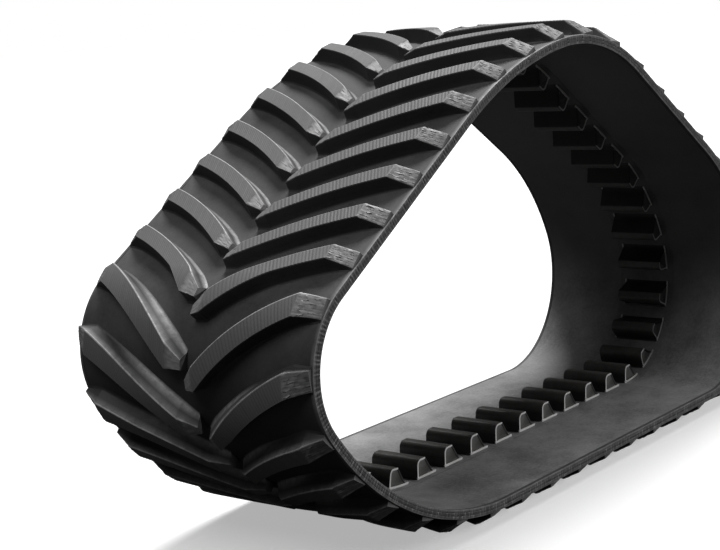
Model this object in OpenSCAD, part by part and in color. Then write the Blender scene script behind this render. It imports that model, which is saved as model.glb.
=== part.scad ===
// Agricultural rubber track: endless belt on a triangular loop.
// Chevron tread bars outside, one centre row of drive lugs inside.
// X runs along travel (front corner at -X), Y across, Z up, ground at Z 0.

/* [Belt] */

// Width of the belt across the machine
belt_w = 914; // [600:2:1000]
// Thickness of the carcass without lugs
carcass_t = 30; // [24:1:40]
// Distance between neighbouring drive lugs, along the inner surface
drive_pitch = 152.4; // [120:0.1:180]
// How many drive lugs the loop carries
drive_count = 42; // [36:1:50]
// Width of the bonded rubber strip at each belt edge
edge_w = 14; // [8:1:30]

/* [Loop shape] */

// Inner radius of the lower part of the front corner
front_low_r = 991; // [600:1:1300]
// Inner radius of the upper part of the front corner
front_up_r = 248; // [200:1:500]
// Share of the front turn taken by the lower arc
front_share = 0.366; // [0.2:0.001:0.8]
// Inner radius of the lower part of the rear corner
rear_low_r = 374; // [250:1:600]
// Inner radius of the upper part of the rear corner
rear_up_r = 875; // [500:1:1200]
// Share of the rear turn taken by the lower arc
rear_share = 0.774; // [0.2:0.001:0.9]
// Inner radius of the rear part of the top arch
top_rear_r = 700; // [400:1:1000]
// Inner radius of the front part of the top arch
top_front_r = 1369; // [700:1:1600]
// Share of the top turn taken by the rear arc
top_share = 0.634; // [0.2:0.001:0.9]
// Direction of the rear incline's outward normal, degrees from +X
rear_slope = 55.8; // [30:0.1:80]
// Direction of the front incline's outward normal, degrees from +X
front_slope = 121.6; // [100:0.1:150]
// Small slide along X that centres the finished outline
loop_shift = 0; // [-30:0.1:30]

/* [Layers] */

// Thickness of the inner rubber (wheel paths and guide strip)
inner_t = 7; // [4:0.5:12]
// Thickness of the lengthwise steel cable ply
cable_t = 5; // [3:0.5:8]
// Thickness of each cross ply
ply_t = 2.5; // [1.5:0.5:4]
// Width of the centre strip that the drive lugs stand on
guide_w = 236; // [200:2:300]

/* [Drive lugs] */

// Height of a drive lug above the inner surface
drive_h = 66; // [40:1:90]
// Length of a drive lug at its root, along travel
drive_len = 92; // [60:1:110]
// Where the crown of a drive lug ends and its rear flank starts, from the lug's middle
drive_crown_end = 3; // [-10:1:30]
// Width of a drive lug across the belt
drive_w = 188; // [120:1:230]
// Rounding radius of the steep flank's crown edge
drive_round = 22; // [8:1:30]
// Rounding radius of the sloping flank's crown edge
drive_back_round = 8; // [3:1:15]
// How far the steep flank leans in over its height
drive_lean = 3; // [0:0.5:10]
// Position of the first drive lug along the loop
drive_phase = 54; // [0:0.5:152]

/* [Tread lugs] */

// Tread bars on each side of the belt
tread_count = 37; // [30:1:44]
// Height of a tread bar
tread_h = 50; // [25:1:70]
// Length of a tread bar's flat top along travel
tread_len = 56; // [40:1:90]
// Offset between the left and right rows along travel
stagger = 45; // [0:1:90]
// Position of the first right bar along the loop
tread_phase = 89; // [0:0.5:173]
// Sweep of a bar at the belt centre, travel per width
sweep_in = 0.8; // [0.2:0.01:1.2]
// How fast the sweep eases off towards the edge
sweep_ease = 0.53; // [0:0.01:0.8]
// Distance from the belt centre to a bar's shoulder
shoulder_y = 387; // [300:1:430]
// Gap from the belt centre to a bar's inner end
nose_y = 6; // [3:1:30]

/* [Hidden] */

RUBBER = [0.11, 0.11, 0.115];
TREAD = [0.16, 0.16, 0.165];
DARK = [0.06, 0.06, 0.065];
STEEL = [0.45, 0.46, 0.48];
FABRIC = [0.30, 0.29, 0.27];

rear_turn = rear_slope + 90;
top_turn = front_slope - rear_slope;
front_turn = 270 - front_slope;
per = drive_pitch * drive_count;

// radius (0 for a straight) and turn of the nine elements of the loop
rad = [0, rear_low_r, rear_up_r, 0, top_rear_r, top_front_r, 0, front_up_r, front_low_r];
turn = [
    0, rear_turn * rear_share, rear_turn * (1 - rear_share),
    0, top_turn * top_share, top_turn * (1 - top_share),
    0, front_turn * (1 - front_share), front_turn * front_share
];

function nrm(a) = [cos(a), sin(a)];
function fwd(a) = [-sin(a), cos(a)];
function total(v, n) = n <= 0 ? 0 : v[n - 1] + total(v, n - 1);
function th(i) = -90 + total(turn, i);
function arc_move(i) = rad[i] * (nrm(th(i) + turn[i]) - nrm(th(i)));
function arc_sum(i) = i > 8 ? [0, 0] : arc_move(i) + arc_sum(i + 1);
function arc_len(i) = i > 8 ? 0 : rad[i] * turn[i] * PI / 180 + arc_len(i + 1);

// the three straights close the loop and give it its length
open_gap = arc_sum(0);
line_sum = per - arc_len(0);
rear_k = 1 + sin(rear_slope);
front_k = 1 + sin(front_slope);
det = cos(rear_slope) * front_k - cos(front_slope) * rear_k;
rear_l = (-open_gap[1] * front_k - cos(front_slope) * (line_sum + open_gap[0])) / det;
front_l = (cos(rear_slope) * (line_sum + open_gap[0]) + open_gap[1] * rear_k) / det;
base_l = line_sum - rear_l - front_l;
lens = [
    base_l, rad[1] * turn[1] * PI / 180, rad[2] * turn[2] * PI / 180,
    rear_l, rad[4] * turn[4] * PI / 180, rad[5] * turn[5] * PI / 180,
    front_l, rad[7] * turn[7] * PI / 180, rad[8] * turn[8] * PI / 180
];

ground_h = carcass_t + tread_h;
function move(i) = rad[i] == 0 ? lens[i] * fwd(th(i)) : arc_move(i);
function raw(i) = i == 0 ? [0, 0] : raw(i - 1) + move(i - 1);
x_max = raw(1)[0] + rad[1];
x_min = (raw(7) - rad[7] * nrm(th(7)))[0] - rad[7];
home = [loop_shift - (x_max + x_min) / 2, ground_h];
function start(i) = home + raw(i);

// a point at distance s along the inner surface and n outside it
function where(s, i) = (i >= 8 || s < lens[i]) ? [i, s] : where(s - lens[i], i + 1);
function on_seg(i, u, n) = rad[i] == 0
    ? start(i) + u * fwd(th(i)) + n * nrm(th(i))
    : start(i) - rad[i] * nrm(th(i)) + (rad[i] + n) * nrm(th(i) + u / rad[i] * 180 / PI);
function wrap(s) = s - per * floor(s / per);
function at(s, n) = let (k = where(wrap(s), 0)) on_seg(k[0], k[1], n);
function angle_at(s) = let (k = where(wrap(s), 0))
    th(k[0]) + (rad[k[0]] == 0 ? 0 : k[1] / rad[k[0]] * 180 / PI);

// the loop offset outwards by n, its bends in steps of about bend_step degrees
bend_step = 3;
function steps(i) = rad[i] == 0 ? 1 : ceil(turn[i] / bend_step);
function outline(n) = [
    for (i = [0:8]) for (k = [0:steps(i) - 1]) on_seg(i, lens[i] * k / steps(i), n)
];

// everything inside that outline
module area(n) {
    polygon(outline(n));
}

// prism across the belt from y0 to y1
module across(y0, y1) {
    translate([0, y1, 0]) rotate([90, 0, 0]) linear_extrude(height = y1 - y0) children();
}

// a closed layer between two offsets
module layer(n0, n1, y0, y1) {
    across(y0, y1) difference() {
        area(n1);
        area(n0);
    }
}

// one run of a layer, along the loop's elements first to last
function edge_pts(n, first, last) = concat(
    [for (i = [first:last]) for (k = [0:steps(i) - 1]) on_seg(i, lens[i] * k / steps(i), n)],
    [on_seg(last, lens[last], n)]
);
function flipped(v) = [for (k = [len(v) - 1:-1:0]) v[k]];
module layer_run(n0, n1, y0, y1, run) {
    across(y0, y1) polygon(concat(
        edge_pts(n1, run[0], run[1]), flipped(edge_pts(n0, run[0], run[1]))
    ));
}

bottom_run = [0, 0];
rear_run = [1, 2];
top_rear_run = [3, 4];
top_front_run = [5, 6];
front_run = [7, 8];

ply_y = belt_w / 2 - edge_w;
n_cable = inner_t;
n_bias1 = n_cable + cable_t;
n_bias2 = n_bias1 + ply_t;
n_cross = n_bias2 + ply_t;
n_cover = n_cross + ply_t;

module guide_strip(run) {
    color(RUBBER) layer_run(0, inner_t, -guide_w / 2, guide_w / 2, run);
}

module guide_strip_bottom() {
    guide_strip(bottom_run);
}

module guide_strip_rear() {
    guide_strip(rear_run);
}

module guide_strip_top_rear() {
    guide_strip(top_rear_run);
}

module guide_strip_top_front() {
    guide_strip(top_front_run);
}

module guide_strip_front() {
    guide_strip(front_run);
}

module wheel_path_left(run) {
    color(RUBBER) layer_run(0, inner_t, -ply_y, -guide_w / 2, run);
}

module wheel_path_left_bottom() {
    wheel_path_left(bottom_run);
}

module wheel_path_left_rear() {
    wheel_path_left(rear_run);
}

module wheel_path_left_top_rear() {
    wheel_path_left(top_rear_run);
}

module wheel_path_left_top_front() {
    wheel_path_left(top_front_run);
}

module wheel_path_left_front() {
    wheel_path_left(front_run);
}

module wheel_path_right(run) {
    color(RUBBER) layer_run(0, inner_t, guide_w / 2, ply_y, run);
}

module wheel_path_right_bottom() {
    wheel_path_right(bottom_run);
}

module wheel_path_right_rear() {
    wheel_path_right(rear_run);
}

module wheel_path_right_top_rear() {
    wheel_path_right(top_rear_run);
}

module wheel_path_right_top_front() {
    wheel_path_right(top_front_run);
}

module wheel_path_right_front() {
    wheel_path_right(front_run);
}

module main_cable_ply() {
    color(STEEL) layer(n_cable, n_bias1, -ply_y, ply_y);
}

module bias_ply_inner() {
    color(FABRIC) layer(n_bias1, n_bias2, -ply_y, ply_y);
}

module bias_ply_outer() {
    color(FABRIC) layer(n_bias2, n_cross, -ply_y, ply_y);
}

module transverse_ply() {
    color(FABRIC) layer(n_cross, n_cover, -ply_y, ply_y);
}

module outer_cover(run) {
    color(RUBBER) layer_run(n_cover, carcass_t, -ply_y, ply_y, run);
}

module outer_cover_bottom() {
    outer_cover(bottom_run);
}

module outer_cover_rear() {
    outer_cover(rear_run);
}

module outer_cover_top_rear() {
    outer_cover(top_rear_run);
}

module outer_cover_top_front() {
    outer_cover(top_front_run);
}

module outer_cover_front() {
    outer_cover(front_run);
}

module edge_strip_left() {
    color(RUBBER) layer(0, carcass_t, -belt_w / 2, -ply_y);
}

module edge_strip_right() {
    color(RUBBER) layer(0, carcass_t, ply_y, belt_w / 2);
}

// side view of one drive lug: root on the X axis, crown towards -Y, steep flank at +X
module drive_profile() {
    half = drive_len / 2;
    slope = atan2(drive_h, half - drive_crown_end);
    back_x = -drive_crown_end + drive_back_round * tan(slope / 2);
    polygon(concat(
        [[-half - 4, 8], [-half, 0]],
        [for (k = [3:-1:0]) [back_x, drive_back_round - drive_h]
            + drive_back_round * nrm(-90 - k * slope / 3)],
        [for (k = [0:5]) [half - drive_lean - drive_round, drive_round - drive_h]
            + drive_round * nrm(-90 + k * 90 / 5)],
        [[half, 0], [half + 1, 8]]
    ));
}

module drive_lug(k) {
    s = drive_phase + k * drive_pitch;
    intersection() {
        across(-drive_w / 2, drive_w / 2)
            translate(at(s, 0)) rotate(angle_at(s) - 90) drive_profile();
        across(-drive_w, drive_w) area(0);
    }
}

module drive_lugs(first, last) {
    color(DARK) for (k = [first:last]) drive_lug(k);
}

// stations of a tread bar from its inner end to the belt edge
st_y = [nose_y, 52, 130, 210, 295, shoulder_y, belt_w / 2 - 6];
st_h = [tread_h - 18, tread_h, tread_h, tread_h, tread_h, tread_h, 17];
st_lead_h = [tread_h - 18, tread_h, tread_h, tread_h, tread_h, tread_h, 5];
st_cut = [32, 4, 0, 0, 0, 0, 0];
// the sloping shoulder turns towards the belt edge
st_shift = [0, 0, 0, 0, 0, 0, 10];
// how far the sloping trailing wall reaches out below the carcass surface
st_out = [22, 27, 24, 20, 16, 15, 4];
sink = 9;
lead_out = 5;
function back(y) = sweep_in * y - sweep_ease * y * y / belt_w;
function pt(s, n, y, side) = let (p = at(s, n)) [p[0], side * y, p[1]];
function ring_pts(s0, j, side) = let (
    y = st_y[j],
    h = st_h[j],
    lead_h = st_lead_h[j],
    a = s0 - back(y) + st_shift[j],
    b = a + tread_len - st_cut[j]
) [
    pt(a - st_out[j], carcass_t - sink, y, side),
    pt(a + 4 * (1 - h / tread_h), carcass_t + h, y, side),
    pt((a + b) / 2, carcass_t + (h + lead_h) / 2, y, side),
    pt(b - lead_out * (1 - lead_h / tread_h), carcass_t + lead_h, y, side),
    pt(b + lead_out, carcass_t - sink, y, side)
];
function quad(a, b, c, d, f) = f ? [[a, b, c], [a, c, d]] : [[c, b, a], [d, c, a]];

module tread_lug(k, side) {
    s0 = tread_phase + k * per / tread_count + (side < 0 ? stagger : 0);
    last = len(st_y) - 1;
    flip = side < 0;
    pts = [for (j = [0:last], p = ring_pts(s0, j, side)) p];
    skin = [for (j = [0:last - 1], m = [0:4], f = quad(
        j * 5 + m, j * 5 + 5 + m, j * 5 + 5 + (m + 1) % 5, j * 5 + (m + 1) % 5, flip)) f];
    cap0 = [for (m = [1:3]) flip ? [0, m, m + 1] : [0, m + 1, m]];
    e = last * 5;
    cap1 = [for (m = [1:3]) flip ? [e, e + m + 1, e + m] : [e, e + m, e + m + 1]];
    difference() {
        polyhedron(points = pts, faces = concat(skin, cap0, cap1), convexity = 4);
        across(-belt_w / 2 - 10, belt_w / 2 + 10) area(carcass_t);
    }
}

module tread_lugs(side, first, last) {
    color(TREAD) for (k = [first:last]) tread_lug(k, side);
}

module drive_lugs_1() {
    drive_lugs(0, 5);
}

module drive_lugs_2() {
    drive_lugs(6, 11);
}

module drive_lugs_3() {
    drive_lugs(12, 17);
}

module drive_lugs_4() {
    drive_lugs(18, 23);
}

module drive_lugs_5() {
    drive_lugs(24, 29);
}

module drive_lugs_6() {
    drive_lugs(30, 35);
}

module drive_lugs_7() {
    drive_lugs(36, 41);
}

module tread_left_01() {
    tread_lugs(-1, 0, 2);
}

module tread_left_02() {
    tread_lugs(-1, 3, 5);
}

module tread_left_03() {
    tread_lugs(-1, 6, 8);
}

module tread_left_04() {
    tread_lugs(-1, 9, 11);
}

module tread_left_05() {
    tread_lugs(-1, 12, 14);
}

module tread_left_06() {
    tread_lugs(-1, 15, 17);
}

module tread_left_07() {
    tread_lugs(-1, 18, 20);
}

module tread_left_08() {
    tread_lugs(-1, 21, 23);
}

module tread_left_09() {
    tread_lugs(-1, 24, 26);
}

module tread_left_10() {
    tread_lugs(-1, 27, 29);
}

module tread_left_11() {
    tread_lugs(-1, 30, 32);
}

module tread_left_12() {
    tread_lugs(-1, 33, 36);
}

module tread_right_01() {
    tread_lugs(1, 0, 2);
}

module tread_right_02() {
    tread_lugs(1, 3, 5);
}

module tread_right_03() {
    tread_lugs(1, 6, 8);
}

module tread_right_04() {
    tread_lugs(1, 9, 11);
}

module tread_right_05() {
    tread_lugs(1, 12, 14);
}

module tread_right_06() {
    tread_lugs(1, 15, 17);
}

module tread_right_07() {
    tread_lugs(1, 18, 20);
}

module tread_right_08() {
    tread_lugs(1, 21, 23);
}

module tread_right_09() {
    tread_lugs(1, 24, 26);
}

module tread_right_10() {
    tread_lugs(1, 27, 29);
}

module tread_right_11() {
    tread_lugs(1, 30, 32);
}

module tread_right_12() {
    tread_lugs(1, 33, 36);
}

guide_strip_bottom();
guide_strip_rear();
guide_strip_top_rear();
guide_strip_top_front();
guide_strip_front();
wheel_path_left_bottom();
wheel_path_left_rear();
wheel_path_left_top_rear();
wheel_path_left_top_front();
wheel_path_left_front();
wheel_path_right_bottom();
wheel_path_right_rear();
wheel_path_right_top_rear();
wheel_path_right_top_front();
wheel_path_right_front();
main_cable_ply();
bias_ply_inner();
bias_ply_outer();
transverse_ply();
outer_cover_bottom();
outer_cover_rear();
outer_cover_top_rear();
outer_cover_top_front();
outer_cover_front();
edge_strip_left();
edge_strip_right();
drive_lugs_1();
drive_lugs_2();
drive_lugs_3();
drive_lugs_4();
drive_lugs_5();
drive_lugs_6();
drive_lugs_7();
tread_left_01();
tread_left_02();
tread_left_03();
tread_left_04();
tread_left_05();
tread_left_06();
tread_left_07();
tread_left_08();
tread_left_09();
tread_left_10();
tread_left_11();
tread_left_12();
tread_right_01();
tread_right_02();
tread_right_03();
tread_right_04();
tread_right_05();
tread_right_06();
tread_right_07();
tread_right_08();
tread_right_09();
tread_right_10();
tread_right_11();
tread_right_12();
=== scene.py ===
import math

import bpy
import numpy as np
from mathutils import Matrix, Vector


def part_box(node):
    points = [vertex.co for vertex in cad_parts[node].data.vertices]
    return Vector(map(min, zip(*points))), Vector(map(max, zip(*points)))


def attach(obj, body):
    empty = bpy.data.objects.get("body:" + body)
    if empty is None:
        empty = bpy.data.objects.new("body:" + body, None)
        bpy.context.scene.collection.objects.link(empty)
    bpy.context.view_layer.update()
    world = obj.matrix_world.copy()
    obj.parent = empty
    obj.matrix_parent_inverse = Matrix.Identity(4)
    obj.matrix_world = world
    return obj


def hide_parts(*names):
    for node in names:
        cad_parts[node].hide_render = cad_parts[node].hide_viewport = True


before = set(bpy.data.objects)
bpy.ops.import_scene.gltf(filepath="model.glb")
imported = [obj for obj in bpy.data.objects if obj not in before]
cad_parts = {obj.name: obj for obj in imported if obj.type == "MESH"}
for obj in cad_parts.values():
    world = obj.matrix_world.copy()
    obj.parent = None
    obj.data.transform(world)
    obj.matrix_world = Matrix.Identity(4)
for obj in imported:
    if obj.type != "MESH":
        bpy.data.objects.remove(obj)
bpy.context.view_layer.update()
nodeNames = sorted(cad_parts)
print("frame loaded:", len(nodeNames), "CAD nodes")

# camera: three-quarter view from the front left, a little above the belt
cameraSettings = {
    "lens": 79.17,            # mm on a 36 mm sensor
    "yaw": 39.15,             # degrees from +X towards +Y
    "pitch": 9.85,            # degrees below the horizon
    "roll": -4.12,
    "aim": (-0.2286, 0.2630, 0.6999),
    "distance": 5.4326,       # metres from the aim point
}


def makeCamera(c):
    yaw, pitch, roll = (math.radians(c[k]) for k in ("yaw", "pitch", "roll"))
    sight = Vector((math.cos(yaw) * math.cos(pitch), math.sin(yaw) * math.cos(pitch), -math.sin(pitch)))
    right = sight.cross(Vector((0, 0, 1))).normalized()
    up = right.cross(sight)
    turn = Matrix.Rotation(-roll, 3, sight)
    right, up = turn @ right, turn @ up
    data = bpy.data.cameras.new("viewCamera")
    data.lens = c["lens"]
    data.clip_end = 200
    cam = bpy.data.objects.new("viewCamera", data)
    basis = Matrix((right, up, -sight)).transposed().to_4x4()
    cam.matrix_world = Matrix.Translation(Vector(c["aim"]) - sight * c["distance"]) @ basis
    bpy.context.scene.collection.objects.link(cam)
    bpy.context.scene.camera = cam


makeCamera(cameraSettings)
print("camera placed")

# the belt's running line: straights and arcs, in order from the front end of the bottom run
belt = {
    "width": 0.914, "edge": 0.014, "carcass": 0.030,
    "innerThick": 0.007, "coverInner": 0.0195, "guideWidth": 0.236,
    "lugPitch": 0.1524, "lugCount": 42,
    "radii": [0, 0.374, 0.875, 0, 0.700, 1.369, 0, 0.248, 0.991],
    "rearSlope": 55.8, "frontSlope": 121.6,
    "rearShare": 0.774, "paintedLightShare": 0.634, "frontShare": 0.366,
}
loopLength = belt["lugPitch"] * belt["lugCount"]
halfWidth = belt["width"] / 2
carcass = belt["carcass"]


def outward(a):
    return np.array((math.cos(a), math.sin(a)))


def along(a):
    return np.array((-math.sin(a), math.cos(a)))


def buildLoop():
    rear, front = belt["rearSlope"], belt["frontSlope"]
    rs, ts, fs = belt["rearShare"], belt["paintedLightShare"], belt["frontShare"]
    turns = np.radians([0, (rear + 90) * rs, (rear + 90) * (1 - rs), 0, (front - rear) * ts,
                        (front - rear) * (1 - ts), 0, (270 - front) * (1 - fs), (270 - front) * fs])
    radii = np.array(belt["radii"])
    heads = -math.pi / 2 + np.concatenate(([0], np.cumsum(turns)[:-1]))
    arcs = np.array([r * (outward(h + t) - outward(h)) for r, h, t in zip(radii, heads, turns)])
    gap = arcs.sum(0)
    lengths = radii * turns
    # the three straights close the loop and bring it to its length
    ways = np.array([along(heads[i]) for i in (0, 3, 6)]).T
    target = np.array((-gap[0], -gap[1], loopLength - lengths.sum()))
    lengths[[0, 3, 6]] = np.linalg.solve(np.vstack((ways, np.ones(3))), target)
    moves = arcs + np.array([l * along(h) * (r == 0) for r, h, l in zip(radii, heads, lengths)])
    starts = np.concatenate(([(0, 0)], np.cumsum(moves, 0)[:-1]))
    return radii, heads, lengths, starts


loopRadii, loopHeads, loopLengths, loopStarts = buildLoop()
loopBegins = np.concatenate(([0], np.cumsum(loopLengths)[:-1]))


# a point at distance s along the inner surface and n outside it, before the loop is placed
def onLoop(s, n):
    s, n = np.broadcast_arrays(np.mod(np.asarray(s, float), loopLength), np.asarray(n, float))
    i = np.clip(np.searchsorted(loopBegins, s, side="right") - 1, 0, 8)
    u, r, h = s - loopBegins[i], loopRadii[i], loopHeads[i]
    a = np.where(r > 0, h + u / np.where(r > 0, r, 1), h)
    x = loopStarts[i, 0] + np.where(r > 0, r * (np.cos(a) - np.cos(h)), -u * np.sin(h)) + n * np.cos(a)
    z = loopStarts[i, 1] + np.where(r > 0, r * (np.sin(a) - np.sin(h)), u * np.cos(h)) + n * np.sin(a)
    return x, z


# the loop sits where the CAD cover sits
coverBoxes = [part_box(n) for n in nodeNames if n.startswith("outer_cover")]
coverLow = np.array([min(b[0][k] for b in coverBoxes) for k in range(3)])
coverHigh = np.array([max(b[1][k] for b in coverBoxes) for k in range(3)])
ringX, ringZ = onLoop(np.linspace(0, loopLength, 4000), carcass)
shiftX = (coverLow[0] + coverHigh[0] - ringX.min() - ringX.max()) / 2
shiftZ = coverLow[2] - ringZ.min()


def place(s, n, y):
    s, n, y = np.broadcast_arrays(s, n, y)
    x, z = onLoop(s, n)
    return np.stack((x + shiftX, y, z + shiftZ), -1)


print("loop placed:", round(float(shiftX), 4), round(float(shiftZ), 4))


# shader helpers
def newGroup(name, inputs, outputs):
    g = bpy.data.node_groups.new(name, "ShaderNodeTree")
    for label, kind, value in inputs:
        g.interface.new_socket(label, in_out="INPUT", socket_type=kind).default_value = value
    for label, kind in outputs:
        g.interface.new_socket(label, in_out="OUTPUT", socket_type=kind)
    return g, g.nodes.new("NodeGroupInput"), g.nodes.new("NodeGroupOutput")


def addNode(tree, kind, links=(), **settings):
    node = tree.nodes.new(kind)
    for key, value in settings.items():
        setattr(node, key, value)
    for socket, source in dict(links).items():
        if isinstance(source, (int, float, tuple)):
            node.inputs[socket].default_value = source
        else:
            tree.links.new(source, node.inputs[socket])
    return node


def maths(tree, operation, a, b=0.0, clamp=False):
    return addNode(tree, "ShaderNodeMath", {0: a, 1: b}, operation=operation, use_clamp=clamp).outputs[0]


def times(tree, a, b, clamp=False):
    return maths(tree, "MULTIPLY", a, b, clamp)


def blendColour(tree, amount, a, b):
    return addNode(tree, "ShaderNodeMix", {0: amount, 6: a, 7: b}, data_type="RGBA").outputs[2]


def remap(tree, value, low, high, outLow=0.0, outHigh=1.0):
    links = {"Value": value, "From Min": low, "From Max": high, "To Min": outLow, "To Max": outHigh}
    return addNode(tree, "ShaderNodeMapRange", links).outputs[0]


def noise(tree, position, scale, detail, roughness=0.5):
    links = {"Vector": position, "Scale": scale, "Detail": detail, "Roughness": roughness}
    return addNode(tree, "ShaderNodeTexNoise", links).outputs[0]


colourIn, floatIn, vectorIn = "NodeSocketColor", "NodeSocketFloat", "NodeSocketVector"


# fine skin of moulded rubber: a height for bump and a slow mottle for colour
def makeGrainGroup():
    inputs = [("Position", vectorIn, (0, 0, 0)), ("Grain Scale", floatIn, 400.0),
              ("Mottle Scale", floatIn, 6.0), ("Pit Amount", floatIn, 0.4)]
    g, gi, go = newGroup("rubberGrain", inputs, [("Height", floatIn), ("Mottle", floatIn)])
    position, grainScale, mottleScale, pitAmount = (gi.outputs[k] for k in range(4))
    fine = noise(g, position, grainScale, 4.0, 0.65)
    soft = noise(g, position, times(g, grainScale, 0.11), 3.0)
    pits = addNode(g, "ShaderNodeTexVoronoi", {"Vector": position, "Scale": times(g, grainScale, 0.3)})
    pit = times(g, remap(g, pits.outputs["Distance"], 0.0, 0.25, 1.0, 0.0), pitAmount)
    height = maths(g, "ADD", times(g, fine, 0.5), soft)
    g.links.new(maths(g, "SUBTRACT", height, pit), go.inputs[0])
    g.links.new(remap(g, noise(g, position, mottleScale, 5.0, 0.6), 0.32, 0.68), go.inputs[1])
    return g


# pale bloom and dust, strongest on faces that look up
def makeBloomGroup():
    inputs = [("Colour", colourIn, (0.02, 0.02, 0.02, 1)), ("Dust Colour", colourIn, (0.1, 0.1, 0.1, 1)),
              ("Amount", floatIn, 0.5), ("Mottle", floatIn, 0.5), ("Position", vectorIn, (0, 0, 0))]
    g, gi, go = newGroup("dustBloom", inputs, [("Colour", colourIn), ("Mask", floatIn)])
    colour, dustColour, amount, mottle, position = (gi.outputs[k] for k in range(5))
    normal = addNode(g, "ShaderNodeNewGeometry").outputs["Normal"]
    upward = remap(g, addNode(g, "ShaderNodeSeparateXYZ", {0: normal}).outputs[2], -0.3, 1.0)
    broken = remap(g, noise(g, position, 90.0, 6.0, 0.75), 0.36, 0.7)
    cloud = maths(g, "ADD", times(g, mottle, 0.6), times(g, broken, 0.5))
    mask = times(g, times(g, upward, cloud), amount, clamp=True)
    g.links.new(blendColour(g, mask, colour, dustColour), go.inputs[0])
    g.links.new(mask, go.inputs[1])
    return g


# painted edge highlights: a broken pale mask from the edge value that each mesh carries
def makeHighlightGroup():
    inputs = [("Colour", colourIn, (0.02, 0.02, 0.02, 1)), ("Highlight Colour", colourIn, (0.3, 0.3, 0.3, 1)),
              ("Edge", floatIn, 0.0), ("Amount", floatIn, 1.0), ("Position", vectorIn, (0, 0, 0))]
    g, gi, go = newGroup("paintedEdgeHighlight", inputs, [("Colour", colourIn), ("Mask", floatIn)])
    colour, wornColour, edge, amount, position = (gi.outputs[k] for k in range(5))
    broken = remap(g, noise(g, position, 38.0, 5.0, 0.7), 0.3, 0.62, 0.35, 1.0)
    mask = times(g, times(g, edge, broken), amount, clamp=True)
    g.links.new(blendColour(g, mask, colour, wornColour), go.inputs[0])
    g.links.new(mask, go.inputs[1])
    return g


grainGroup, bloomGroup, highlightGroup = makeGrainGroup(), makeBloomGroup(), makeHighlightGroup()


def grey(v, warm=0.0):
    return (v * (1 + warm), v, v * (1 - warm), 1)


# a group node with its links and its own values, by socket name
def placeGroup(tree, group, links):
    return addNode(tree, "ShaderNodeGroup", links, node_tree=group)


def meshValue(tree, name):
    return addNode(tree, "ShaderNodeAttribute", attribute_name=name).outputs["Fac"]


def makeRubber(name, look):
    mat = bpy.data.materials.new(name)
    mat.use_nodes = True
    tree = mat.node_tree
    shader = tree.nodes["Principled BSDF"]
    position = addNode(tree, "ShaderNodeTexCoord").outputs["Object"]
    grain = placeGroup(tree, grainGroup, {"Position": position, "Grain Scale": look["grainScale"],
                                          "Mottle Scale": look["mottleScale"], "Pit Amount": look["pits"]})
    mottle = grain.outputs["Mottle"]
    ground = blendColour(tree, mottle, look["dark"], look["light"])
    # painted light: faces that catch the light, by the mesh's top share, get a paler colour
    paintedLightMask = times(tree, meshValue(tree, "paintedLightShare"), look["topAmount"])
    ground = blendColour(tree, paintedLightMask, ground, look["topColour"])
    bloom = placeGroup(tree, bloomGroup, {"Colour": ground, "Dust Colour": look["dust"], "Mottle": mottle,
                                          "Amount": look["dustAmount"], "Position": position})
    # painted highlight: paler and glossier where the mesh's edge value is high
    edge = placeGroup(tree, highlightGroup, {"Colour": bloom.outputs["Colour"], "Highlight Colour": look["worn"],
                                        "Edge": meshValue(tree, "paintedHighlightShare"), "Amount": look["wornAmount"],
                                        "Position": position})
    tree.links.new(edge.outputs["Colour"], shader.inputs["Base Color"])
    rough = maths(tree, "ADD", look["roughness"], times(tree, bloom.outputs["Mask"], 0.25))
    rough = maths(tree, "SUBTRACT", rough, times(tree, edge.outputs["Mask"], 0.15))
    rough = maths(tree, "ADD", rough, times(tree, mottle, look["roughSpread"]))
    tree.links.new(rough, shader.inputs["Roughness"])
    shader.inputs["Specular IOR Level"].default_value = look["specular"]
    bump = addNode(tree, "ShaderNodeBump", {"Height": grain.outputs["Height"], "Strength": look["bump"],
                                            "Distance": look["bumpDepth"]})
    tree.links.new(bump.outputs[0], shader.inputs["Normal"])
    return mat


baseLook = {
    "grainScale": 420.0, "mottleScale": 7.0, "pits": 0.35, "dark": grey(0.016), "light": grey(0.024),
    "topColour": grey(0.115), "topAmount": 0.0, "dust": grey(0.075), "dustAmount": 0.35,
    "worn": grey(0.45), "wornAmount": 1.0, "roughness": 0.5, "roughSpread": 0.08, "specular": 0.4,
    "bump": 0.35, "bumpDepth": 0.0006,
}


# a rubber that differs from the base look only in the values given
def rubberLike(name, **changes):
    return makeRubber(name, {**baseLook, **changes})


treadRubber = rubberLike("treadRubber", topAmount=0.9, grainScale=380.0, bump=0.6)
coverRubber = rubberLike("coverRubber", dark=grey(0.020), light=grey(0.034), dust=grey(0.10), dustAmount=0.6,
                         roughness=0.55, mottleScale=5.0)
edgeRubber = rubberLike("edgeRubber", dark=grey(0.028), light=grey(0.050), worn=grey(0.34), wornAmount=0.9,
                        dustAmount=0.4, mottleScale=22.0)
pathRubber = rubberLike("pathRubber", dark=grey(0.085), light=grey(0.105), dust=grey(0.33), dustAmount=0.85,
                        grainScale=520.0, bump=0.2, pits=0.15)
guideRubber = rubberLike("guideRubber", dark=grey(0.070), light=grey(0.095), dust=grey(0.30), dustAmount=0.8,
                         grainScale=520.0, bump=0.25)
# driveRubber's warm paler top colour is a painted sheen along the crown
driveRubber = rubberLike("driveRubber", dark=grey(0.010, 0.05), light=grey(0.016, 0.05), topAmount=0.6,
                         topColour=grey(0.045, 0.12), dustAmount=0.15, roughness=0.36, worn=grey(0.3),
                         wornAmount=0.5, bump=0.25)
# painted light: a paler copy of the lug rubber for the end faces
driveEndPaintedLight = rubberLike("driveEndPaintedLight", dark=grey(0.050, 0.04), light=grey(0.075, 0.04), dustAmount=0.2, bump=0.5)
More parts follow.
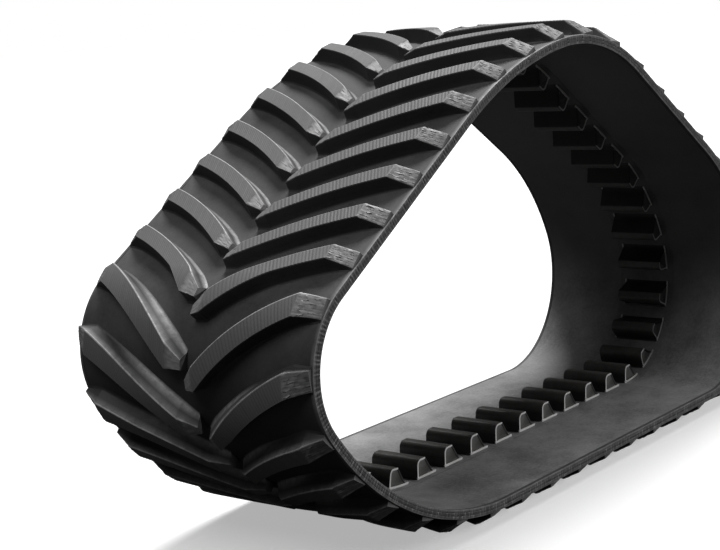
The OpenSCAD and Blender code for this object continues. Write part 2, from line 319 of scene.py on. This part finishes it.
# painted highlight: the pale bead colour stands in for the bright rim along the lug ends
highlightBead = rubberLike("highlightBead", dark=grey(0.50, 0.01), light=grey(0.68, 0.01), dust=grey(0.6),
                      dustAmount=0.2, roughness=0.45, bump=0.3, pits=0.1)


# woven cord or cable lying in rubber, for the layers inside the belt
def makePly(name, cord, rubber, metallic, pitch, lean):
    mat = bpy.data.materials.new(name)
    mat.use_nodes = True
    tree = mat.node_tree
    shader = tree.nodes["Principled BSDF"]
    position = addNode(tree, "ShaderNodeTexCoord").outputs["Object"]
    turned = addNode(tree, "ShaderNodeMapping", {"Vector": position, "Rotation": (0.0, 0.0, lean)}).outputs[0]
    wave = addNode(tree, "ShaderNodeTexWave", {"Vector": turned, "Scale": 0.314 / pitch, "Distortion": 0.3},
                   bands_direction="Y").outputs["Fac"]
    twist = noise(tree, position, 600.0, 3.0)
    cords = remap(tree, wave, 0.25, 0.6)
    darkCord = tuple(c * 0.7 for c in cord[:3]) + (1,)
    shade = blendColour(tree, remap(tree, twist, 0.35, 0.65), cord, darkCord)
    tree.links.new(blendColour(tree, cords, rubber, shade), shader.inputs["Base Color"])
    tree.links.new(remap(tree, cords, 0.0, 1.0, 0.75, 0.42), shader.inputs["Roughness"])
    if metallic:
        tree.links.new(times(tree, cords, metallic), shader.inputs["Metallic"])
    height = maths(tree, "ADD", wave, times(tree, twist, 0.3))
    bump = addNode(tree, "ShaderNodeBump", {"Height": height, "Strength": 0.6, "Distance": 0.001})
    tree.links.new(bump.outputs[0], shader.inputs["Normal"])
    return mat


plyFinish = {
    "main_cable_ply": makePly("cablePly", (0.42, 0.36, 0.24, 1), grey(0.02), 0.9, 0.005, 0.0),
    "bias_ply_inner": makePly("biasPlyInner", (0.13, 0.12, 0.10, 1), grey(0.02), 0.0, 0.002, 0.5),
    "bias_ply_outer": makePly("biasPlyOuter", (0.13, 0.12, 0.10, 1), grey(0.02), 0.0, 0.002, -0.5),
    "transverse_ply": makePly("transversePly", (0.15, 0.14, 0.12, 1), grey(0.02), 0.0, 0.002, 1.5708),
}
for nodeName, mat in plyFinish.items():
    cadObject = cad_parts[nodeName]
    for k in range(max(1, len(cadObject.material_slots))):
        if len(cadObject.material_slots) <= k:
            cadObject.data.materials.append(mat)
        cadObject.material_slots[k].material = mat
print("materials made:", len(bpy.data.materials))


# a mesh object that rides the belt and stands in for the CAD nodes given
def makePiece(name, points, faces, mats, replaced, edge=None, top=None, faceMats=None, sharp=40):
    mesh = bpy.data.meshes.new(name)
    mesh.from_pydata(points.reshape(-1, 3).tolist(), [], faces)
    for mat in mats:
        mesh.materials.append(mat)
    if faceMats is not None:
        mesh.polygons.foreach_set("material_index", np.asarray(faceMats, np.int32))
    for label, values in (("paintedHighlightShare", edge), ("paintedLightShare", top)):
        if values is not None:
            layer = mesh.attributes.new(label, "FLOAT", "POINT")
            layer.data.foreach_set("value", np.asarray(values, np.float32).ravel())
    mesh.shade_smooth()
    mesh.set_sharp_from_angle(angle=math.radians(sharp))
    mesh.validate()
    piece = bpy.data.objects.new(name, mesh)
    bpy.context.scene.collection.objects.link(piece)
    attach(piece, "root")
    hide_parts(*replaced)


# quads between neighbouring rows of a grid of points
def gridFaces(rows, columns, wrapRows=False, wrapColumns=False, first=0):
    i = np.arange(rows if wrapRows else rows - 1)[:, None]
    j = np.arange(columns if wrapColumns else columns - 1)[None, :]
    i2, j2 = (i + 1) % rows, (j + 1) % columns
    quads = np.stack((i * columns + j, i * columns + j2, i2 * columns + j2, i2 * columns + j), -1)
    return quads.reshape(-1, 4) + first


# a closed band round the loop from a closed section of (y, n) points
def sweepBelt(name, section, stations, mat, prefix, edge=None, ripple=None):
    s = np.linspace(0, loopLength, stations, endpoint=False)[:, None]
    section = np.array(section, float)
    y = np.tile(section[:, 0], (stations, 1))
    n = np.tile(section[:, 1], (stations, 1))
    edgeValues = np.tile(np.zeros(len(section)) if edge is None else np.array(edge, float), (stations, 1))
    if ripple is not None:
        y, n, edgeValues = ripple(s, y, n, edgeValues)
    faces = gridFaces(stations, len(section), True, True).tolist()
    replaced = [nodeName for nodeName in nodeNames if nodeName.startswith(prefix)]
    makePiece(name, place(s, n, y), faces, [mat], replaced, edge=edgeValues)


def spread(a, b, count):
    return list(np.linspace(a, b, count))


# outer cover: the rubber under and between the tread bars, very slightly uneven along the belt
coverShape = {"stations": 640, "across": 24, "swell": 0.0006, "swellPitch": 0.31}


def coverRipple(s, y, n, edge):
    outerFace = n > carcass - 0.001
    wave = np.sin(2 * math.pi * s / coverShape["swellPitch"] + 9 * y) * coverShape["swell"]
    return y, np.where(outerFace, n + wave - coverShape["swell"], n), edge


plyHalf = halfWidth - belt["edge"]
across = spread(-plyHalf, plyHalf, coverShape["across"])
coverSection = [(y, carcass) for y in across]
coverSection += [(plyHalf, belt["coverInner"]), (-plyHalf, belt["coverInner"])]
sweepBelt("outerCover", coverSection, coverShape["stations"], coverRubber, "outer_cover",
          ripple=coverRipple)

# belt edges: a thick lip with two moulded lines and fine cross ticks
edgeShape = {"stations": 2000, "lip": 0.0035, "line": 0.0009, "tick": 0.0022, "tickPitch": 0.0115}


def makeEdge(name, side, node):
    t, lip, line = carcass, edgeShape["lip"], edgeShape["line"]
    outer, inner = halfWidth, plyHalf
    # (y, n, edge value), inner corner round to outer corner; the edge value paints highlights along the
    # rounded corners
    profile = [(inner, 0.0, 0.0), (outer - lip, 0.0, 0.2), (outer - 0.3 * lip, 0.3 * lip, 0.85),
               (outer, lip, 0.5), (outer, 0.0085, 0.1), (outer - line, 0.0095, 0.0), (outer, 0.0105, 0.3),
               (outer, 0.014, 0.0), (outer, 0.0185, 0.0), (outer - line, 0.0195, 0.0),
               (outer, 0.0205, 0.35), (outer, t - lip, 0.3), (outer - 0.3 * lip, t - 0.3 * lip, 0.9),
               (outer - lip, t, 0.3), (inner, t, 0.0)]
    section = [(side * y, n) for y, n, e in profile]
    edge = [e for y, n, e in profile]
    if side < 0:
        section.reverse()
        edge.reverse()
    rng = np.random.default_rng(5 if side < 0 else 6)
    pitch = edgeShape["tickPitch"]
    count = int(loopLength / pitch)
    depth = rng.uniform(0.35, 1.0, count)
    lean = rng.uniform(-0.004, 0.004, count)

    def ticks(s, y, n, e):
        face = (np.abs(y) > outer - 0.002) & (n > 0.003) & (n < t - 0.003)
        k = np.mod(np.floor(s / pitch).astype(int), count)
        phase = np.mod(s + lean[k] * (n / t), pitch) / pitch
        notch = np.clip(1 - np.abs(phase - 0.5) / 0.22, 0, 1) * depth[k]
        wobble = 0.5 * (1 + np.sin(s * 41) * np.sin(s * 13.7))
        y = y - side * np.where(face, edgeShape["tick"] * (notch + 0.3 * wobble), 0)
        # painted highlight: a pale rim along one side of each tick notch
        rim = np.clip(1 - np.abs(phase - 0.86) / 0.16, 0, 1) * depth[k]
        e = np.clip(np.where(face, 0.5 * e + 0.8 * rim, e * (0.55 + 0.45 * wobble)), 0, 1)
        return y, n, e

    sweepBelt(name, section, edgeShape["stations"], edgeRubber, node,
              edge=edge, ripple=ticks)


makeEdge("edgeStripLeft", -1, "edge_strip_left")
makeEdge("edgeStripRight", 1, "edge_strip_right")

# inner rubber: two smooth wheel paths, and the guide strip that the drive lugs stand on
pathShape = {"stations": 640, "sag": 0.0004, "seam": 0.0012}
innerThick, guideHalf = belt["innerThick"], belt["guideWidth"] / 2


def makePath(name, side, node):
    ys = [guideHalf, guideHalf + pathShape["seam"]]
    ys += spread(guideHalf + 0.006, plyHalf - 0.003, 14) + [plyHalf]
    section = [(side * y, 0.0008 if k in (0, len(ys) - 1) else 0.0) for k, y in enumerate(ys)]
    section += [(side * plyHalf, innerThick), (side * guideHalf, innerThick)]
    if side > 0:
        section.reverse()

    def sag(s, y, n, e):
        wave = 0.5 * (1 + np.sin(s * 14.3 + 11 * y) * np.sin(s * 5.1))
        return y, np.where(n < 0.0005, n + pathShape["sag"] * wave, n), e

    sweepBelt(name, section, pathShape["stations"], pathRubber, node, ripple=sag)


makePath("wheelPathLeft", -1, "wheel_path_left")
makePath("wheelPathRight", 1, "wheel_path_right")
guideSection = [(y, 0.0) for y in spread(guideHalf, -guideHalf, 12)]
guideSection += [(-guideHalf, innerThick), (guideHalf, innerThick)]
sweepBelt("guideStrip", guideSection, pathShape["stations"], guideRubber, "guide_strip")
print("belt surfaces built")

# drive lugs: asymmetric moulded blocks with a low bead round each end face, coloured pale as a painted rim
# highlight
driveShape = {
    "length": 0.092, "height": 0.066, "halfWidth": 0.094, "crownEnd": 0.003, "round": 0.022,
    "backRound": 0.008, "lean": 0.003, "phase": 0.054, "beadWidth": 0.0075, "beadRise": 0.0012,
    "fillet": 0.008, "endRound": 0.003, "perPiece": 6, "uneven": 0.0004,
}


# (s, height) points of the lug's side view from the steep foot over the crown to the sloping foot
def driveProfile(d):
    half, h, r, rb = d["length"] / 2, d["height"], d["round"], d["backRound"]
    points = [(-half - d["fillet"], 0.0), (-half - 0.4 * d["fillet"], 0.0008), (-half, 0.25 * d["fillet"]),
              (-half + 0.2 * d["lean"], 0.9 * d["fillet"]), (-half + 0.6 * d["lean"], 0.45 * h)]
    kinds = ["foot", "foot", "foot", "steep", "steep"]
    for k in range(9):
        a = math.pi - k * math.pi / 16
        points.append((-half + d["lean"] + r + r * math.cos(a), h - r + r * math.sin(a)))
        kinds.append("crown")
    slope = math.atan2(h, half - d["crownEnd"])
    cx = d["crownEnd"] - rb * math.tan(slope / 2)
    points.append(((points[-1][0] + cx) / 2, h))
    kinds.append("crown")
    for k in range(5):
        a = math.pi / 2 - k * slope / 4
        points.append((cx + rb * math.cos(a), h - rb + rb * math.sin(a)))
        kinds.append("crown" if k < 3 else "back")
    end = (half, 0.0)
    last = points[-1]
    for k in (0.33, 0.66, 0.9):
        points.append((last[0] + (end[0] - last[0]) * k, last[1] + (end[1] - last[1]) * k))
        kinds.append("back")
    points += [(half + 0.25 * d["fillet"], 0.0022), (half + 0.6 * d["fillet"], 0.0008),
               (half + d["fillet"], 0.0)]
    kinds += ["foot", "foot", "foot"]
    return np.array(points), kinds


# the outline moved inwards by a distance, for the bead and the round of the ends
def inset(points, distance):
    before, after = np.roll(points, 1, 0), np.roll(points, -1, 0)
    before[0], after[-1] = points[0], points[-1]
    way = after - before
    way /= np.maximum(np.linalg.norm(way, axis=1, keepdims=True), 1e-9)
    moved = points + np.stack((way[:, 1], -way[:, 0]), -1) * distance
    moved[:, 1] = np.maximum(moved[:, 1], 0.0)
    return moved


# rings of (outline, y) from one end face to the other: end face, bead, rounded rim, then the body
def driveRings(d, profile):
    w, r, bead, rise = d["halfWidth"], d["endRound"], d["beadWidth"], d["beadRise"]
    foot = (0.0, 0.0008, 0.0022)
    core = profile.copy()
    core[:3, 0] = -d["length"] / 2 + 0.0005
    core[-3:, 0] = d["length"] / 2 - 0.0005
    core[:3, 1] = foot
    core[-3:, 1] = foot[::-1]
    beadIn = inset(core, bead)
    beadIn[:, 1] = np.maximum(beadIn[:, 1], bead)
    faceIn = inset(core, bead + rise)
    faceIn[:, 1] = np.maximum(faceIn[:, 1], bead + rise)
    half = [(faceIn, w - rise - 0.0004), (beadIn, w - 0.0002), (inset(core, rise), w),
            (inset(core, 0.0003), w - 0.0008), (core, w - r), (profile, w - 2.2 * r)]
    rings = [(p, -y) for p, y in half] + [(profile, y) for y in spread(-w + 0.02, w - 0.02, 9)]
    return rings + [(p, y) for p, y in reversed(half)]


# the bead along one foot of a lug: a low half-round strip, coloured pale as a painted highlight
def footBead(d, s0, side):
    s = s0 + np.array(spread(-d["length"] / 2 - 0.001, d["length"] / 2 + 0.009, 8))[:, None]
    rise = np.array([[0.0, 0.6, 1.0, 1.0, 0.6]]) * d["beadWidth"]
    out = np.array([[0.2, 1.0, 0.9, -0.6, -1.2]]) * 0.0022
    return place(s, -rise + 0.0005 * (rise == 0), side * (d["halfWidth"] + out))


# the two end rows of a grid closed with one face each
def endCaps(rows, columns, flipFirst, first=0):
    caps = []
    for row, flip in ((0, flipFirst), (rows - 1, not flipFirst)):
        cap = [first + row * columns + c for c in range(columns)]
        caps.append(cap if flip else cap[::-1])
    return caps


# material index of each face: 1 on the beads (painted highlight), 2 on the end faces (a paler copy of the lug
# rubber, painted light), 0 elsewhere
def driveFinish(faces, kinds, rows):
    row, column = faces[:, 0] // len(kinds), faces[:, 0] % len(kinds)
    onBead = (row == 1) | (row == rows - 3)
    paleSide = np.array([k in ("foot", "steep", "crown") for k in kinds])[column] & (column < len(kinds) - 3)
    finish = np.where(onBead & paleSide, 1, np.where((row == 0) | (row == rows - 2), 2, 0))
    finish[(row <= 2) & ~paleSide] = 0
    return finish


def makeDriveLugs():
    d = driveShape
    profile, kinds = driveProfile(d)
    rings = driveRings(d, profile)
    rows, count = len(rings), len(profile)
    lift = np.array([p[:, 1] for p, y in rings])
    offset = np.array([p[:, 0] for p, y in rings])
    ys = np.array([np.full(count, y) for p, y in rings])
    # painted highlight along the crown: crown points get a higher edge value and the paler top colour
    edge = np.tile([0.225 if k == "crown" else 0.0375 for k in kinds], rows)
    top = np.tile([1.0 if k == "crown" else 0.1 if k == "back" else 0.0 for k in kinds], rows)
    faces = gridFaces(rows, count)
    finish = driveFinish(faces, kinds, rows)
    groups = sorted(n for n in nodeNames if n.startswith("drive_lugs"))
    rng = np.random.default_rng(11)
    for g, node in enumerate(groups):
        points, allFaces, allFinishes, starts = [], [], [], []
        for k in range(d["perPiece"]):
            s0 = d["phase"] + (d["perPiece"] * g + k) * belt["lugPitch"] + rng.normal(0, d["uneven"])
            first = k * rows * count
            points.append(place(s0 + offset, -lift + 0.0006 * (lift < 0.0004), ys).reshape(-1, 3))
            allFaces += (faces + first).tolist() + endCaps(rows, count, False, first)
            allFinishes += [finish, [2, 2]]
            starts.append(s0)
        bodyCount = d["perPiece"] * rows * count
        first = bodyCount
        for s0 in starts:
            for side in (-1, 1):
                bead = footBead(d, s0, side)
                quads = gridFaces(*bead.shape[:2], first=first)
                allFaces += (quads if side < 0 else quads[:, ::-1]).tolist()
                allFaces += endCaps(*bead.shape[:2], side < 0, first)
                allFinishes.append([1] * (len(quads) + 2))
                points.append(bead.reshape(-1, 3))
                first += len(points[-1])
        spare = np.zeros(first - bodyCount)
        makePiece("driveLugs" + str(g + 1), np.concatenate(points), allFaces,
                  [driveRubber, highlightBead, driveEndPaintedLight], [node],
                  edge=np.concatenate((np.tile(edge, d["perPiece"]), spare)),
                  top=np.concatenate((np.tile(top, d["perPiece"]), spare)),
                  faceMats=np.concatenate(allFinishes), sharp=50)


makeDriveLugs()
print("drive lugs built")

# tread bars: swept chevron bars with ribbed tops, chamfered noses and ridged shoulders
barShape = {
    "count": 37, "perPiece": 3, "length": 0.056, "height": 0.050, "stagger": 0.045, "phase": 0.089,
    "sweep": 0.8, "ease": 0.53,                        # how the bar runs back from its nose
    "nose": 0.006, "noseEnd": 0.052, "shoulder": 0.387, "tip": 0.451,      # distances from the middle
    "noseDrop": 0.018, "noseCut": 0.032, "noseRim": 0.0015, "crumble": 0.0011,
    "tipTrail": 0.0165, "tipLead": 0.0045, "tipShift": 0.010, "tipNarrow": 0.002,
    "ribPitch": 0.0098, "ribHeight": 0.0012, "ribLean": 0.45,
    "ridges": 6, "ridgeHeight": 0.0046, "ridgeWander": 0.0022,
    "wallAt": (0.006, 0.05, 0.13, 0.21, 0.295, 0.387, 0.451),              # trailing wall's reach by distance
    "wallReach": (0.018, 0.023, 0.020, 0.017, 0.0135, 0.0125, 0.003),
    "lead": 0.004, "rim": 0.0012, "footRise": 0.0016, "footSink": 0.0012,
    "noseRows": 8, "bodyRows": 170, "slopeRows": 16,
}


def easeStep(v):
    v = np.clip(v, 0, 1)
    return v * v * (3 - 2 * v)


# where the bar's rows lie, from its nose to its tip at the belt edge
def barRows(b):
    nose = [b["nose"], b["nose"] + 0.0012] + spread(b["nose"] + 0.006, b["noseEnd"] - 0.002, b["noseRows"])
    body = spread(b["noseEnd"], b["shoulder"] - 0.002, b["bodyRows"])
    slope = spread(b["shoulder"], b["tip"] - 0.001, b["slopeRows"]) + [b["tip"]]
    return np.array(nose + body + slope)[:, None]


# a wall from (travel, share of the bar's height, rise) columns, h being the height at its top
def barWall(columns, h):
    return [s for s, share, rise in columns], [carcass + share * h + rise for s, share, rise in columns]


def barGrid(b, rng, side):
    y = barRows(b)
    u = np.array([0.0, 0.035] + spread(0.075, 0.965, 2 * b["ridges"] + 3) + [0.99, 1.0])[None, :]
    cell = np.arange(u.shape[1])[None, :]
    inside = (cell > 1) & (cell < u.shape[1] - 2)
    outermost = (cell == 0) | (cell == u.shape[1] - 1)
    down = np.clip((y - b["shoulder"]) / (b["tip"] - b["shoulder"]), 0, 1)
    noseShare = np.clip((b["noseEnd"] - y) / (b["noseEnd"] - b["nose"]), 0, 1)

    # plain shape: level body, lowered and narrowed nose, slope down to a tilted tip
    tip = b["tipTrail"] + (b["tipLead"] - b["tipTrail"]) * u
    height = b["height"] - (b["height"] - tip) * down - b["noseDrop"] * noseShare
    height = height - b["noseRim"] * np.clip((b["nose"] + 0.001 - y) / 0.001, 0, 1)
    back = b["sweep"] * y - b["ease"] * y * y / belt["width"] - b["tipShift"] * down
    a = -back + b["tipNarrow"] * down
    e = -back + b["length"] - b["noseCut"] * noseShare - b["tipNarrow"] * down
    s = a + (e - a) * u

    # fine sawtooth ribs that lean across the top
    phase = (y + side * b["ribLean"] * (s - a)) / b["ribPitch"]
    jitter = rng.uniform(0.45, 1.1, 80)[np.mod(np.floor(phase).astype(int), 80)]
    saw = np.mod(phase, 1.0)
    rib = jitter * np.where(saw < 0.35, 1 - saw / 0.35, (saw - 0.35) / 0.65) ** 1.4
    onBody = easeStep((y - b["noseEnd"]) / 0.008) * easeStep((b["shoulder"] - y) / 0.01)
    onNose = (noseShare > 0.02) & (noseShare < 0.98)
    crumb = rng.uniform(-1.9, 0.1, (len(y), u.shape[1])) * b["crumble"] * onNose
    n = carcass + height - b["ribHeight"] * rib * onBody * (1 - 0.6 * (u < 0.05)) + crumb

    # broken ridges that wander down the shoulder slope
    strong = rng.uniform(0.3, 1.0, u.shape[1])[None, :]
    ridge = np.where((cell % 2 == 1) & inside, strong, 0)
    onSlope = easeStep((y - b["shoulder"] + 0.006) / 0.012) * (1 - 0.4 * down)
    broken = 0.65 + 0.35 * np.sin(cell * 2.7 + 14 * down + rng.uniform(0, 6))
    n = n + b["ridgeHeight"] * onSlope * (ridge * broken - 0.8) * (1 - 0.5 * down)
    wander = np.sin(cell * 1.9 + 9 * down + rng.uniform(0, 6))
    wander = wander + 0.8 * np.sin(cell * 3.1 - 17 * down + rng.uniform(0, 6))
    s = s + b["ridgeWander"] * onSlope * wander * inside
    n = n - b["rim"] * outermost

    # walls: a long buttress on the trailing side, a steep face on the leading side
    reach, lead = np.interp(y, b["wallAt"], b["wallReach"]), b["lead"]
    leftS, leftN = barWall([(a - reach - 0.007, 0, -b["footSink"]), (a - reach - 0.001, 0, b["footRise"]),
                            (a - 0.86 * reach, 0.11, 0), (a - 0.45 * reach, 0.55, 0),
                            (a - 0.06 * reach, 0.93, 0)], n[:, :1] - carcass)
    rightS, rightN = barWall([(e + 0.1 * lead, 0.93, 0), (e + 0.6 * lead, 0.45, 0), (e + 0.9 * lead, 0.1, 0),
                              (e + lead + 0.001, 0, b["footRise"]), (e + lead + 0.006, 0, -b["footSink"])],
                             n[:, -1:] - carcass)
    s = np.concatenate(leftS + [s] + rightS, 1)
    n = np.concatenate(leftN + [n] + rightN, 1)

    # painted highlights on the trailing top edge, the buttress foot, the ridge crests and the nose, and
    # painted light on the top and the buttress: paler where light falls, with painted shade in the rib
    # valleys
    wallCells = len(leftS)
    last = s.shape[1] - wallCells
    body = (1 - noseShare) * (1 - down)
    edge = np.zeros_like(s)
    edge[:, wallCells - 1:wallCells + 2] = np.array([[0.35, 1.0, 0.75]]) * (0.55 + 0.45 * body)
    edge[:, 1:3] = np.array([[0.5, 0.75]]) * easeStep((0.30 - y) / 0.2)
    edge[:, last - 2:last] = 0.12
    noseHighlight = 0.22 * easeStep(noseShare * 3) * (1 - onSlope)
    edge[:, wallCells + 2:last - 2] = 0.9 * np.clip(ridge[:, 2:-2] - 0.1, 0, 1) * onSlope + noseHighlight
    top = np.zeros_like(s)
    top[:, wallCells:last] = 1.0 - 0.32 * onBody * rib ** 0.8
    top[:, wallCells:last] *= 1 + 0.5 * easeStep(noseShare * 4) + 0.35 * onSlope
    top[:, 1:wallCells] = 0.35 * easeStep((0.34 - y) / 0.3)
    return s, n, np.broadcast_to(y, s.shape), edge, top


def makeTreadBars():
    b = barShape
    pitch = loopLength / b["count"]
    for side, word in ((-1, "left"), (1, "right")):
        rng = np.random.default_rng(21 + side)
        groups = sorted(n for n in nodeNames if n.startswith("tread_" + word))
        for g, node in enumerate(groups):
            points, faces, edges, tops = [], [], [], []
            first = 0
            start = b["perPiece"] * g
            end = b["count"] if g == len(groups) - 1 else start + b["perPiece"]
            for k in range(start, end):
                s, n, y, edge, top = barGrid(b, rng, side)
                s0 = b["phase"] + k * pitch + (b["stagger"] if side < 0 else 0)
                points.append(place(s0 + s, n, side * y))
                quads = gridFaces(*s.shape, first=first)
                faces += (quads if side < 0 else quads[:, ::-1]).tolist()
                faces += endCaps(*s.shape, side < 0, first)
                first += s.size
                edges.append(edge)
                tops.append(top)
            makePiece("treadBars" + word.capitalize() + str(g + 1), np.array(points), faces, [treadRubber],
                      [node], edge=np.array(edges), top=np.array(tops), sharp=38)


makeTreadBars()
print("tread bars built")

# pale floor and soft studio light: both look bright to the camera but light the rubber only a little
studio = {
    "floorSize": 60.0, "floorDepth": -0.001, "floorColour": grey(0.60), "floorGlow": 0.42,
    "bounceColour": grey(0.035), "skyColour": (1, 1, 1, 1), "skyFill": 0.055,
    # each lamp: strength, softness in degrees, the way its light travels
    "lamps": {"softKey": (4.0, 24.0, (-0.42, -0.22, -0.90)), "sideFill": (1.6, 30.0, (-0.55, 0.75, -0.38)),
              "frontFill": (1.5, 40.0, (0.50, 0.05, -0.86))},
}


# one shader for what the camera sees directly, another for the light that bounces off it
def splitBySight(tree, bounced, seen, output):
    sight = addNode(tree, "ShaderNodeLightPath").outputs["Is Camera Ray"]
    mix = addNode(tree, "ShaderNodeMixShader", {0: sight, 1: bounced, 2: seen})
    tree.links.new(mix.outputs[0], tree.nodes[output].inputs[0])


def makeFloor(c):
    mesh = bpy.data.meshes.new("floor")
    h, z = c["floorSize"], c["floorDepth"]
    mesh.from_pydata([(-h, -h, z), (h, -h, z), (h, h, z), (-h, h, z)], [], [(0, 1, 2, 3)])
    floor = bpy.data.objects.new("floor", mesh)
    bpy.context.scene.collection.objects.link(floor)
    mat = bpy.data.materials.new("paleFloor")
    mat.use_nodes = True
    tree = mat.node_tree
    shader = tree.nodes["Principled BSDF"]
    shader.inputs["Base Color"].default_value = c["floorColour"]
    shader.inputs["Roughness"].default_value = 0.9
    shader.inputs["Specular IOR Level"].default_value = 0.0
    shader.inputs["Emission Color"].default_value = grey(1.0)
    shader.inputs["Emission Strength"].default_value = c["floorGlow"]
    dim = addNode(tree, "ShaderNodeBsdfDiffuse", {"Color": c["bounceColour"]})
    splitBySight(tree, dim.outputs[0], shader.outputs[0], "Material Output")
    mesh.materials.append(mat)


def makeSky(c):
    world = bpy.data.worlds.new("studioSky")
    world.use_nodes = True
    tree = world.node_tree
    fill = tree.nodes["Background"]
    fill.inputs["Color"].default_value = c["skyColour"]
    fill.inputs["Strength"].default_value = c["skyFill"]
    bright = addNode(tree, "ShaderNodeBackground", {"Color": c["skyColour"], "Strength": 1.0})
    splitBySight(tree, fill.outputs[0], bright.outputs[0], "World Output")
    bpy.context.scene.world = world


def makeStudio(c):
    makeFloor(c)
    makeSky(c)
    for name, (strength, softness, way) in c["lamps"].items():
        light = bpy.data.lights.new(name, "SUN")
        light.energy = strength
        light.angle = math.radians(softness)
        lamp = bpy.data.objects.new(name, light)
        lamp.rotation_euler = Vector(way).to_track_quat("-Z", "Y").to_euler()
        bpy.context.scene.collection.objects.link(lamp)
    bpy.context.scene.view_settings.view_transform = "Standard"


makeStudio(studio)
print("studio ready")
